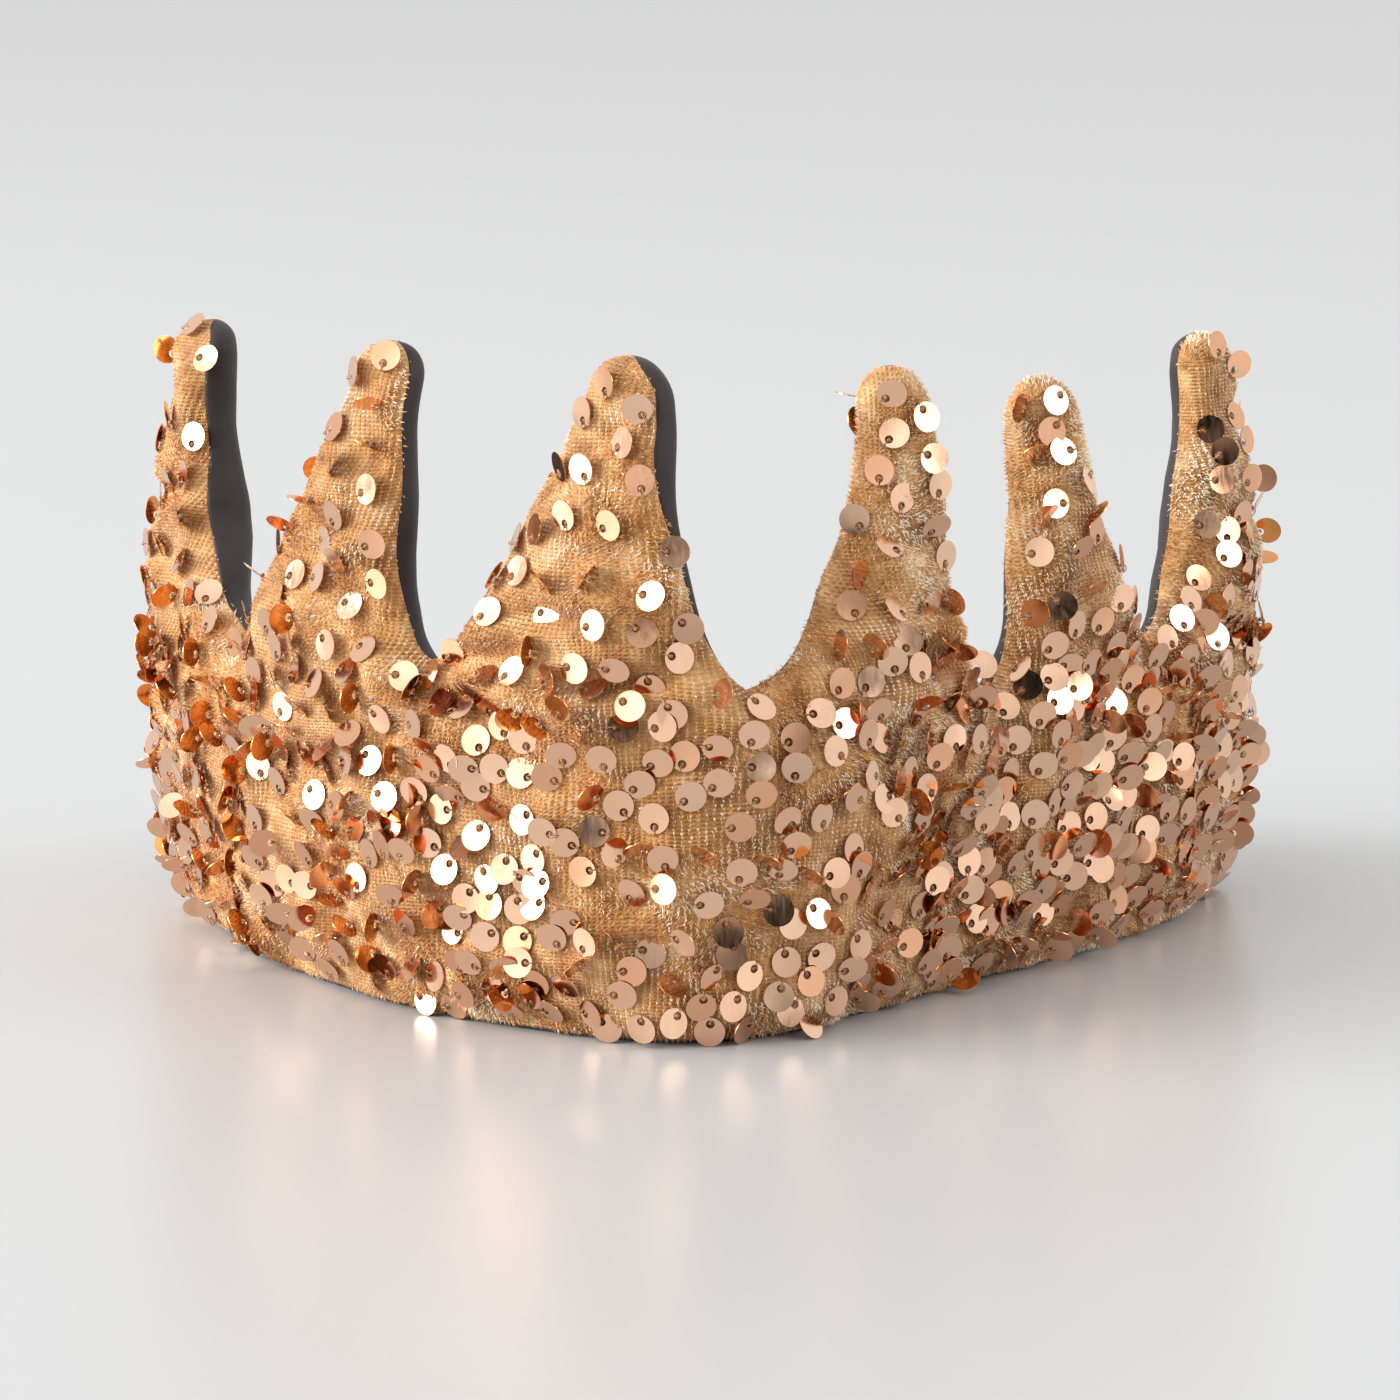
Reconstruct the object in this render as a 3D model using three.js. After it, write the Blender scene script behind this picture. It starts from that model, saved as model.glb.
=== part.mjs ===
// A soft dress-up crown: sequinned stretch velvet outside, plain lining inside, a padded band with six
// stuffed spikes round the front, and an elastic in a plain sleeve across the back.
// Millimetres, +Z up, the wearer's front towards -Y, origin at the middle of the base.
//
// Every piece is a layer over one curved middle surface. A place on that surface is (s, z): s runs along the
// band from the nose of the crown, positive to +X, and z is the height. An offset then moves along the
// surface's outward normal, so layers with different offsets nest and never cross.
import * as THREE from 'three';

// ---- Driving dimensions ----

// The closed line of the band on the floor, from the nose round by +X. The second number is the depth
// behind the front, before the whole crown is centred.
const LOOP = [
  [0, 3.5], [13, 9.5], [38, 38.5], [66, 69], [83, 97], [88, 118], [83, 138], [59, 149],
  [0, 153.5], [-57, 147.5], [-80, 133.5], [-86.5, 108], [-80, 81], [-68, 55], [-45, 26], [-16, 6.5],
];
const CENTRE = { x: 0.756, y: 75.451 };
const SAMPLES_PER_POINT = 60;

// The dips between the spikes, and the two ends of the padded part. flat is half the width of the dip's floor.
const DIPS = [
  { s: -158, z: 32, flat: 0 },
  { s: -96, z: 56.5, flat: 2.5 },
  { s: -43.5, z: 60, flat: 4 },
  { s: 5.5, z: 57.5, flat: 2.5 },
  { s: 61.5, z: 48.5, flat: 2.5 },
  { s: 103, z: 53, flat: 2.5 },
  { s: 160, z: 32, flat: 0 },
];

// The spikes from left to right: tip place and height, tip radius, how hollow each side is (1 is straight),
// how far the spike turns about its own upright axis (degrees), and how far its tip leans in.
const SPIKES = [
  { s: -131, top: 106.5, radius: 6.5, hollowLeft: 1.7, hollowRight: 1.5, turn: 9, leanIn: 0 },
  { s: -60, top: 109.5, radius: 6.3, hollowLeft: 1.25, hollowRight: 1.9, turn: 0, leanIn: 2.5 },
  { s: -10.5, top: 111, radius: 6.7, hollowLeft: 0.9, hollowRight: 2.1, turn: -25, leanIn: 0 },
  { s: 40, top: 105.5, radius: 6.5, hollowLeft: 2.2, hollowRight: 5, turn: -50, leanIn: 0 },
  { s: 78, top: 101, radius: 6.3, hollowLeft: 2.6, hollowRight: 1.7, turn: -31, leanIn: 0 },
  { s: 137, top: 102.5, radius: 6.5, hollowLeft: 1.9, hollowRight: 1.7, turn: -16, leanIn: 0 },
];
const TURN_DONE = 0.75; // the share of a spike's height over which its turn builds up

const BULGE = 5; // how far the wall bows outwards at half height
const BULGE_HEIGHT = 115;

// The padding, from the middle surface to each face, and how far in from the edge it takes to fill out.
const HALF_THICKNESS = 7.2;
const EDGE_ROUND = 12;
const EDGE_BLUNT = 0.45; // keeps the seamed edge this much short of a sharp one
const BASE_FLAT = 1.2; // the base is squashed as if this much of its round edge were gone

// The layers, each measured inwards from its own face.
const VELVET = 1.2;
const LINING = 0.8;
const GAP = 0.3;
const INTERFACING = 0.6;
const INNER_SIDE = LINING + GAP;
const INTERFACING_START = VELVET + GAP;
const FILLING_START = INTERFACING_START + INTERFACING + GAP;
const PANEL_GAP = 0.5; // between two neighbouring panels of the same layer

// The elastic and its sleeve.
const ELASTIC = { bottom: 4.5, top: 26.5, outer: 0.25, inner: -0.65, tuck: 7 };
const SLEEVE = { bottom: 2.2, top: 28.8, outer: 2.3, inner: -2.7, wall: 0.6 };
const STATION_STEP = 9;
const STITCH = { inFromEnd: 3.6, width: 1.4, bottom: 6, top: 25, height: 0.6 };

// Where each panel is cut into cells: across a spike's share of the band, up the band, and up a spike. The
// last three steps of a spike are heights up its round tip.
const ACROSS = [0, 0.06, 0.2, 0.4, 0.6, 0.8, 0.94, 1];
const UP_BAND = [0, 0.055, 0.18, 0.42, 0.7, 0.955, 1];
const UP_SPIKE = [0.035, 0.15, 0.34, 0.56, 0.8];
const UP_TIP = [0.05, 0.55, 0.85, 0.97];

const MATERIALS = {
  velvet: { color: 0xc9975a, roughness: 0.85, metalness: 0 },
  lining: { color: 0x474452, roughness: 0.7, metalness: 0 },
  interfacing: { color: 0xefece4, roughness: 0.9, metalness: 0 },
  filling: { color: 0xf6f5f1, roughness: 1, metalness: 0 },
  elastic: { color: 0xe8e6e0, roughness: 0.8, metalness: 0 },
  thread: { color: 0xb98a50, roughness: 0.6, metalness: 0 },
};

// ---- The middle surface ----

const UP = new THREE.Vector3(0, 0, 1);
const lerp = THREE.MathUtils.lerp;
const clamp = THREE.MathUtils.clamp;

const loop = new THREE.CatmullRomCurve3(LOOP.map(([x, y]) => new THREE.Vector3(x, y, 0)), true, 'centripetal');
loop.arcLengthDivisions = LOOP.length * SAMPLES_PER_POINT;
const loopLength = loop.getLength();

function loopPoint(s) {
  return loop.getPointAt(THREE.MathUtils.euclideanModulo(s / loopLength, 1));
}

// The outward normal, taken over a short stretch so that it turns gently.
function loopNormal(s) {
  const reach = 4;
  const along = loopPoint(s + reach).sub(loopPoint(s - reach)).normalize();
  return new THREE.Vector3(along.y, -along.x, 0);
}

function bulge(z) {
  return BULGE * Math.sin((Math.PI * clamp(z, 0, BULGE_HEIGHT)) / BULGE_HEIGHT);
}

// The height of the band under spike k at s.
function bandHeight(k, s) {
  const [left, right] = [DIPS[k], DIPS[k + 1]];
  return lerp(left.z, right.z, clamp((s - left.s) / (right.s - left.s), 0, 1));
}

// The point of sector k at (s, z), moved out by offset.
function surfacePoint(k, s, z, offset) {
  const spike = SPIKES[k];
  const rise = clamp((z - bandHeight(k, s)) / (spike.top - bandHeight(k, s)), 0, 1);
  const angle = THREE.MathUtils.degToRad(spike.turn) * THREE.MathUtils.smoothstep(rise, 0, TURN_DONE);
  const axis = loopPoint(spike.s);
  const normal = loopNormal(s);
  const point = loopPoint(s).sub(axis).applyAxisAngle(UP, angle).add(axis);
  point.addScaledVector(normal, bulge(z));
  point.addScaledVector(loopNormal(spike.s), -spike.leanIn * rise * rise);
  point.addScaledVector(normal.applyAxisAngle(UP, angle), offset);
  return point.add(new THREE.Vector3(-CENTRE.x, -CENTRE.y, z));
}

// ---- The outline ----

// One side of a spike at a share of its height: round out of the dip, up the hollow flank, round the tip.
function sideAt(share, dip, spike, hollow, sign, tipStart) {
  const flank = clamp(share / tipStart, 0, 1);
  const foot = dip.s - sign * dip.flat * (1 - Math.exp(-flank / 0.04));
  const tipEdge = spike.s + sign * spike.radius;
  const up = clamp((share - tipStart) / (1 - tipStart), 0, 1);
  const onFlank = foot + (tipEdge - foot) * (1 - Math.pow(1 - flank, hollow));
  return up > 0 ? spike.s + sign * spike.radius * Math.sqrt(1 - up * up) : onFlank;
}

// The share of spike k's height at which its round tip starts.
function tipStart(k) {
  const height = SPIKES[k].top - (DIPS[k].z + DIPS[k + 1].z) / 2;
  return 1 - SPIKES[k].radius / height;
}

// The place (s, z) in sector k: across runs 0 to 1, and row is up the band below 1 and up the spike above 1.
function placeAt(k, across, row) {
  const spike = SPIKES[k];
  const [left, right] = [DIPS[k], DIPS[k + 1]];
  if (row <= 1) {
    const s = lerp(left.s, right.s, across);
    return { k, s, z: bandHeight(k, s) * row };
  }
  const share = row - 1;
  const start = tipStart(k);
  const leftSide = sideAt(share, left, spike, spike.hollowLeft, -1, start);
  const rightSide = sideAt(share, right, spike, spike.hollowRight, 1, start);
  const s = lerp(leftSide, rightSide, across);
  const foot = bandHeight(k, s);
  return { k, s, z: foot + (spike.top - foot) * share };
}

function rowsOf(k) {
  const start = tipStart(k);
  const flank = UP_SPIKE.map((share) => 1 + share * start);
  const tip = UP_TIP.map((share) => 1 + lerp(start, 1, share));
  return [...UP_BAND, ...flank, ...tip];
}

// The padded shape's outline as short straight runs, without its base.
const outline = [];
for (let k = 0; k < SPIKES.length; k += 1) {
  const steps = 40;
  for (const [across, up] of [[0, true], [1, false]]) {
    for (let i = 0; i <= steps; i += 1) {
      const share = up ? i / steps : 1 - i / steps;
      outline.push(placeAt(k, across, 1 + 1e-9 + share * (1 - 1e-9)));
    }
  }
}
outline.unshift({ s: DIPS[0].s, z: -BASE_FLAT });
outline.push({ s: DIPS[DIPS.length - 1].s, z: -BASE_FLAT });

function distanceToRun(s, z, from, to) {
  const [ds, dz] = [to.s - from.s, to.z - from.z];
  const share = clamp(((s - from.s) * ds + (z - from.z) * dz) / (ds * ds + dz * dz + 1e-9), 0, 1);
  return Math.hypot(s - from.s - share * ds, z - from.z - share * dz);
}

// Half the padding's thickness at (s, z): a quarter of an ellipse in from the nearest edge.
function halfThickness(s, z) {
  let nearest = z + BASE_FLAT;
  for (let i = 1; i < outline.length; i += 1) {
    nearest = Math.min(nearest, distanceToRun(s, z, outline[i - 1], outline[i]));
  }
  const inward = (Math.min(nearest, EDGE_ROUND) + EDGE_BLUNT) / (EDGE_ROUND + EDGE_BLUNT);
  return HALF_THICKNESS * Math.sqrt(1 - (1 - inward) ** 2);
}

// ---- Layers ----

// A patch is the cells of sectors first..last between the given columns and rows, as places and cells.
function makePatch(sectors, keepCell, leftEnd, rightEnd) {
  const places = [];
  const ids = new Map();
  const cells = [];
  const idOf = (place) => {
    const key = `${place.s.toFixed(3)} ${place.z.toFixed(3)}`;
    if (!ids.has(key)) {
      ids.set(key, places.length);
      places.push({ ...place, half: halfThickness(place.s, place.z) });
    }
    return ids.get(key);
  };
  for (const k of sectors) {
    const rows = rowsOf(k);
    const corner = (column, row) => {
      const place = placeAt(k, ACROSS[column], rows[row]);
      place.s = clamp(place.s, leftEnd, rightEnd);
      return idOf(place);
    };
    for (let row = 0; row + 1 < rows.length; row += 1) {
      for (let column = 0; column + 1 < ACROSS.length; column += 1) {
        if (keepCell(k, column, row)) {
          cells.push([
            corner(column, row), corner(column + 1, row), corner(column + 1, row + 1), corner(column, row + 1),
          ]);
        }
      }
    }
  }
  return { places, cells };
}

// The closed solid between two offsets over a patch. Each offset is worked out from the half thickness.
function layerSolid(patch, outerOffset, innerOffset) {
  const count = patch.places.length;
  const positions = [];
  for (const offset of [outerOffset, innerOffset]) {
    for (const place of patch.places) {
      positions.push(...surfacePoint(place.k, place.s, place.z, offset(place.half)).toArray());
    }
  }
  const triangles = [];
  const addQuad = (a, b, c, d) => triangles.push(a, b, c, a, c, d);
  const edges = new Set();
  for (const [a, b, c, d] of patch.cells) {
    addQuad(a, b, c, d);
    addQuad(a + count, d + count, c + count, b + count);
    for (const [from, to] of [[a, b], [b, c], [c, d], [d, a]]) {
      edges.add(`${from} ${to}`);
    }
  }
  for (const edge of edges) {
    const [from, to] = edge.split(' ').map(Number);
    if (!edges.has(`${to} ${from}`)) {
      addQuad(to, from, from + count, to + count);
    }
  }
  const geometry = new THREE.BufferGeometry();
  geometry.setAttribute('position', new THREE.Float32BufferAttribute(positions, 3));
  geometry.setIndex(triangles);
  return geometry;
}

const lastColumn = ACROSS.length - 2;
const bandRows = UP_BAND.length - 1;
const spikeRows = UP_SPIKE.length + UP_TIP.length;
const lastSector = SPIKES.length - 1;

function everyCell() {
  return true;
}

// The interfacing stops two cells short of the ends, which leaves room for the elastic.
function clearOfEnds(k, column) {
  const nearLeft = k === 0 && column < 2;
  const nearRight = k === lastSector && column > lastColumn - 2;
  return !nearLeft && !nearRight;
}

function inBandFilling(k, column, row) {
  return row >= 1 && row < bandRows - 1 && clearOfEnds(k, column);
}

function inSpikeFilling(k, column, row) {
  const inside = column >= 1 && column < lastColumn;
  return inside && row > bandRows && row < bandRows + spikeRows - 1;
}

// ---- The elastic and its sleeve ----

// Sweeps a section round the back of the loop. The section's corners are (z, offset) pairs, and a hollow
// section has a second, smaller loop of as many corners inside the first.
function sweptSolid(from, to, outer, hole) {
  const steps = Math.ceil((to - from) / STATION_STEP);
  const corners = outer.length;
  const loops = hole ? [outer, hole] : [outer];
  const positions = [];
  for (let i = 0; i <= steps; i += 1) {
    const s = lerp(from, to, i / steps);
    for (const [z, offset] of loops.flat()) {
      const point = loopPoint(s).addScaledVector(loopNormal(s), bulge(z) + offset);
      positions.push(point.x - CENTRE.x, point.y - CENTRE.y, z);
    }
  }
  const stride = loops.length * corners;
  const triangles = [];
  const addQuad = (a, b, c, d) => triangles.push(a, b, c, a, c, d);
  for (let i = 0; i < steps; i += 1) {
    for (let j = 0; j < corners; j += 1) {
      const next = (j + 1) % corners;
      const [here, there] = [i * stride, (i + 1) * stride];
      addQuad(here + j, there + j, there + next, here + next);
      if (hole) {
        addQuad(here + corners + next, there + corners + next, there + corners + j, here + corners + j);
      }
    }
  }
  const end = steps * stride;
  for (let j = 0; j < corners; j += 1) {
    const next = (j + 1) % corners;
    if (hole) {
      addQuad(j, next, corners + next, corners + j);
      addQuad(end + next, end + j, end + corners + j, end + corners + next);
    }
  }
  if (!hole) {
    addQuad(0, 1, 2, 3);
    addQuad(end + 3, end + 2, end + 1, end);
  }
  const geometry = new THREE.BufferGeometry();
  geometry.setAttribute('position', new THREE.Float32BufferAttribute(positions, 3));
  geometry.setIndex(triangles);
  return geometry;
}

function section(bottom, top, outer, inner) {
  return [[bottom, outer], [top, outer], [top, inner], [bottom, inner]];
}

const rightPaddedEnd = DIPS[DIPS.length - 1].s;
const leftPaddedEnd = DIPS[0].s + loopLength; // the same place, reached by going on round the back

// A row of stitches through one end of the padded part, lying on the velvet.
function endStitch(k, s, inwards) {
  const places = [];
  const cells = [];
  const rows = 5;
  const columns = [s, s + inwards * STITCH.width].sort((a, b) => a - b);
  for (let row = 0; row <= rows; row += 1) {
    const z = lerp(STITCH.bottom, STITCH.top, row / rows);
    for (const column of columns) {
      places.push({ k, s: column, z, half: halfThickness(column, z) });
    }
  }
  for (let row = 0; row < rows; row += 1) {
    const first = row * 2;
    cells.push([first, first + 1, first + 3, first + 2]);
  }
  return layerSolid({ places, cells }, (half) => half + GAP + STITCH.height, (half) => half + GAP);
}

// ---- Assembly ----

const crown = new THREE.Group();

function addPiece(name, geometry, materialName) {
  const material = new THREE.MeshStandardMaterial({ ...MATERIALS[materialName] });
  const mesh = new THREE.Mesh(geometry, material);
  mesh.name = name;
  crown.add(mesh);
}

const PANELS = [
  { name: 'left', sectors: [0, 1], from: DIPS[0].s, to: DIPS[2].s - PANEL_GAP / 2 },
  { name: 'front', sectors: [2, 3], from: DIPS[2].s + PANEL_GAP / 2, to: DIPS[4].s - PANEL_GAP / 2 },
  { name: 'right', sectors: [4, 5], from: DIPS[4].s + PANEL_GAP / 2, to: DIPS[6].s },
];

for (const panel of PANELS) {
  const whole = makePatch(panel.sectors, everyCell, panel.from, panel.to);
  const backed = makePatch(panel.sectors, clearOfEnds, panel.from, panel.to);
  const band = makePatch(panel.sectors, inBandFilling, panel.from, panel.to);
  addPiece(`velvet_${panel.name}`, layerSolid(whole, (half) => half, (half) => half - VELVET), 'velvet');
  addPiece(`lining_${panel.name}`, layerSolid(whole, (half) => LINING - half, (half) => -half), 'lining');
  addPiece(
    `interfacing_${panel.name}`,
    layerSolid(backed, (half) => half - INTERFACING_START, (half) => half - INTERFACING_START - INTERFACING),
    'interfacing',
  );
  addPiece(
    `band_wadding_${panel.name}`,
    layerSolid(band, (half) => half - FILLING_START, (half) => INNER_SIDE - half),
    'filling',
  );
  for (const k of panel.sectors) {
    const spike = makePatch([k], inSpikeFilling, panel.from, panel.to);
    addPiece(
      `spike_stuffing_${k + 1}`,
      layerSolid(spike, (half) => half - FILLING_START, (half) => INNER_SIDE - half),
      'filling',
    );
  }
}

addPiece(
  'elastic_band',
  sweptSolid(
    rightPaddedEnd - ELASTIC.tuck,
    leftPaddedEnd + ELASTIC.tuck,
    section(ELASTIC.bottom, ELASTIC.top, ELASTIC.outer, ELASTIC.inner),
  ),
  'elastic',
);
addPiece(
  'elastic_sleeve',
  sweptSolid(
    rightPaddedEnd + GAP,
    leftPaddedEnd - GAP,
    section(SLEEVE.bottom, SLEEVE.top, SLEEVE.outer, SLEEVE.inner),
    section(
      SLEEVE.bottom + SLEEVE.wall, SLEEVE.top - SLEEVE.wall,
      SLEEVE.outer - SLEEVE.wall, SLEEVE.inner + SLEEVE.wall,
    ),
  ),
  'lining',
);
addPiece('end_stitch_left', endStitch(0, DIPS[0].s + STITCH.inFromEnd, 1), 'thread');
addPiece('end_stitch_right', endStitch(lastSector, rightPaddedEnd - STITCH.inFromEnd, -1), 'thread');

export default crown;
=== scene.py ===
"""The looks of a soft dress-up crown: sequinned stretch velvet over six stuffed spikes, a dark lining and a
gathered elastic back. Blender 4.5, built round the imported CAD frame.

Lengths are millimetres until a mesh is made. A place on the crown is (s, z): s runs along the band from the
nose, positive to +X, and z is the height. The surface rules are the same as the CAD model's.
"""
import math

import bmesh
import bpy
import numpy as np
from mathutils.kdtree import KDTree
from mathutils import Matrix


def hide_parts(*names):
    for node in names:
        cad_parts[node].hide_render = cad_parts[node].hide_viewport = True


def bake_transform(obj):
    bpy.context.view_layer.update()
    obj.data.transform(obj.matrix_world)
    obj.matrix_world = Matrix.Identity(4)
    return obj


MM = 0.001
TAU = 2 * math.pi

# ---- Driving dimensions, as in the CAD model ----

LOOP = np.array([
    [0, 3.5], [13, 9.5], [38, 38.5], [66, 69], [83, 97], [88, 118], [83, 138], [59, 149],
    [0, 153.5], [-57, 147.5], [-80, 133.5], [-86.5, 108], [-80, 81], [-68, 55], [-45, 26], [-16, 6.5],
])
CENTRE = np.array([0.756, 75.451])
SAMPLES_PER_POINT = 60

DIP_S = np.array([-158, -96, -43.5, 5.5, 61.5, 103, 160])
DIP_Z = np.array([32, 56.5, 60, 57.5, 48.5, 53, 32])
DIP_FLAT = np.array([0, 2.5, 4, 2.5, 2.5, 2.5, 0])

SPIKE_S = np.array([-131, -60, -10.5, 40, 78, 137])
SPIKE_TOP = np.array([106.5, 109.5, 111, 105.5, 101, 102.5])
SPIKE_RADIUS = np.array([6.5, 6.3, 6.7, 6.5, 6.3, 6.5])
HOLLOW_LEFT = np.array([1.7, 1.25, 0.9, 2.2, 2.6, 1.9])
HOLLOW_RIGHT = np.array([1.5, 1.9, 2.1, 5, 1.7, 1.7])
SPIKE_TURN = np.radians(np.array([9, 0, -25, -50, -31, -16]))
SPIKE_LEAN = np.array([0, 2.5, 0, 0, 0, 0])
SPIKES = len(SPIKE_S)
TURN_DONE = 0.75
FOOT_ROUND = 0.04  # how soon a dip's flat foot runs into the flank, as a share of it

BULGE = 5
BULGE_HEIGHT = 115
HALF_THICKNESS = 7.2
EDGE_ROUND = 12
BASE_FLAT = 1.2  # the round edge that the table squashes would reach this far under it
RELAX_PASSES = 60

# ---- Driving dimensions of the looks ----

COLUMNS = 50  # across one spike's share of the band, between its two rolled edges
ROLL_COLUMNS = 5  # in each rolled edge
BAND_ROWS = 42
FLANK_ROWS = 30
TIP_ROWS = 12
LINING_UP_FRONT = 2  # rows at the foot of the front that belong to the lining, about 1 mm
BASE_STRIPS = 4
CLOTH = 0.5  # the thickness of the velvet's backing and of the lining

# How far the seam is rolled in along each spike's left and right side. Above nothing the lining shows at
# the front, and below it the velvet goes round the edge to the back.
ROLL_LEFT = np.array([-0.6, -0.6, -0.6, -1.2, -0.15, -0.3])
ROLL_RIGHT = np.array([0.85, 0.3, 0.95, -0.6, -0.6, -0.6])
LEAST_ROLL = 0.001  # shares of a row
MOST_ROLL = 0.12
ROLL_IN_BAND = 0.05

WALE = 0.82  # the knit's column and row spacing
COURSE = 0.6
TUFTS_PER_MM2 = 4.2
TUFT_LENGTH = 0.78
TUFT_RADIUS = 0.16
TUFT_ROOT = 0.12  # how deep in the cloth it starts
STITCH_SHADE_REACH = 1.5  # the pile is painted darker this near to a sewing point, as painted shade under its sequin
PAINTED_SHEEN_FACING = np.array([0.9, -0.4, 0.15])  # the way the cloth faces where its painted sheen is palest

SEQUIN_RADIUS = 2.5
SEQUIN_THICKNESS = 0.12
SEQUIN_CUP = 0.04
HOLE_RADIUS = 0.7
HOLE_OFFSET = 1.35
SEQUIN_SIDES = 24
SHARP_BEND = math.radians(50)  # a sharper bend than this isn't smoothed, so the film is flat to its rim
SEQUIN_SPACING = 3.85  # the least between two sewing points in the middle of the band
SEQUIN_TRIES = 40000
SEQUIN_MARGIN = 1.3  # from the cloth's edge
SEQUIN_REACH = 1.2  # a sewing point farther than this from the velvet isn't on it
SEQUIN_LIFT = (0.55, 2.1)  # the least and most that its hole stands off the cloth
SCALE_STEP = 0.35  # how far each overlapping sequin lies above the last
THREAD_RADIUS = 0.09
KNOT_SWELL = 4  # times the thread's radius
LEAST_TUFT_HEIGHT = 0.15  # above the table
LEAST_THREAD_HEIGHT = 0.6
LEAST_HOLE_HEIGHT = 1.2
PILE_SEED = 101  # and the next for the other side
SPOT_SEED = 200
SEQUIN_SEED = 201  # and the next for the other side

SLEEVE_BOTTOM = 2.2
SLEEVE_TOP = 28.8
SLEEVE_TUCK = 3  # into each padded end
SLEEVE_STEPS = 190
SLEEVE_SIDES = 48
PLEAT = 5.2
ELASTIC_BOTTOM = 4.5
ELASTIC_TOP = 26.5
ELASTIC_HALF = 0.4
ELASTIC_STEPS = 60

STITCH_BOTTOM = 6.5
STITCH_TOP = 25
STITCH_STEP = 2.9
STITCH_LENGTH = 1.9
STITCH_INSET = 4.3  # from the padded end
STITCH_RADIUS = 0.28

# The body that bends away on each side, where it does so, and which way along the band it lies.
SIDES = {
    "left": {"sectors": (0, 1, 2), "body": "left_wing", "bend_s": -43.5, "away": -1},
    "right": {"sectors": (3, 4, 5), "body": "right_wing", "bend_s": 61.5, "away": 1},
}

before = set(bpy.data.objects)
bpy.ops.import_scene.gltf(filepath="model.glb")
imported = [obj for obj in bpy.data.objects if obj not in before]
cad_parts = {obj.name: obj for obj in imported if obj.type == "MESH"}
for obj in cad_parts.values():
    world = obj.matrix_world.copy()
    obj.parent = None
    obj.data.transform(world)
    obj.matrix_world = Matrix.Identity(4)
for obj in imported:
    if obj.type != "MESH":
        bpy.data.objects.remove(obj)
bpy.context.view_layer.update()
scene = bpy.context.scene


# ---- The surface ----

def closed_curve():
    """Points round the loop and the length to each, along a closed centripetal Catmull-Rom curve."""
    count = len(LOOP)
    t = np.linspace(0, 1, SAMPLES_PER_POINT, endpoint=False)[:, None]
    runs = []
    for i in range(count):
        p0, p1, p2, p3 = (LOOP[(i + j) % count] for j in (-1, 0, 1, 2))
        d0, d1, d2 = (np.linalg.norm(b - a) ** 0.5 for a, b in ((p0, p1), (p1, p2), (p2, p3)))
        slope1 = ((p1 - p0) / d0 - (p2 - p0) / (d0 + d1) + (p2 - p1) / d1) * d1
        slope2 = ((p2 - p1) / d1 - (p3 - p1) / (d1 + d2) + (p3 - p2) / d2) * d1
        runs.append(
            p1 * (2 * t**3 - 3 * t**2 + 1) + slope1 * (t**3 - 2 * t**2 + t)
            + p2 * (3 * t**2 - 2 * t**3) + slope2 * (t**3 - t**2)
        )
    points = np.vstack(runs + [LOOP[:1]])
    steps = np.linalg.norm(np.diff(points, axis=0), axis=1)
    return points, np.concatenate([[0], np.cumsum(steps)])


CURVE, CURVE_LENGTHS = closed_curve()
LOOP_LENGTH = CURVE_LENGTHS[-1]


def loop_point(s):
    """The x and y of the loop at each length along it."""
    s = np.mod(s, LOOP_LENGTH)
    return np.stack([np.interp(s, CURVE_LENGTHS, CURVE[:, i]) for i in (0, 1)], axis=-1)


def loop_normal(s):
    """The outward normal, taken over a short stretch so that it turns gently."""
    reach = 4
    along = loop_point(s + reach) - loop_point(s - reach)
    along /= np.linalg.norm(along, axis=-1, keepdims=True)
    return np.stack([along[..., 1], -along[..., 0]], axis=-1)


def bulge(z):
    """How far the wall swells out at each height."""
    return BULGE * np.sin(math.pi * np.clip(z, 0, BULGE_HEIGHT) / BULGE_HEIGHT)


def band_height(k, s):
    """The height of the band under spike k at s."""
    share = np.clip((s - DIP_S[k]) / (DIP_S[k + 1] - DIP_S[k]), 0, 1)
    return DIP_Z[k] + (DIP_Z[k + 1] - DIP_Z[k]) * share


def smooth_step(x):
    """Eases from nothing to one as x does the same."""
    x = np.clip(x, 0, 1)
    return x * x * (3 - 2 * x)


def rotated(xy, angle):
    """Plan vectors turned by an angle."""
    cos, sin = np.cos(angle), np.sin(angle)
    return np.stack([xy[..., 0] * cos - xy[..., 1] * sin, xy[..., 0] * sin + xy[..., 1] * cos], axis=-1)


def surface_point(k, s, z, offset):
    """The point of sector k at (s, z), moved out by offset."""
    foot = band_height(k, s)
    rise = np.clip((z - foot) / (SPIKE_TOP[k] - foot), 0, 1)
    angle = SPIKE_TURN[k] * smooth_step(rise / TURN_DONE)
    axis = loop_point(SPIKE_S[k] + 0 * s)
    normal = loop_normal(s)
    xy = rotated(loop_point(s) - axis, angle) + axis + normal * bulge(z)[..., None]
    xy -= loop_normal(SPIKE_S[k] + 0 * s) * (SPIKE_LEAN[k] * rise**2)[..., None]
    xy += rotated(normal, angle) * offset[..., None]
    return np.concatenate([xy - CENTRE, z[..., None]], axis=-1)


def tip_start(k):
    """The share of spike k's height at which its round tip starts."""
    return 1 - SPIKE_RADIUS[k] / (SPIKE_TOP[k] - (DIP_Z[k] + DIP_Z[k + 1]) / 2)


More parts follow.
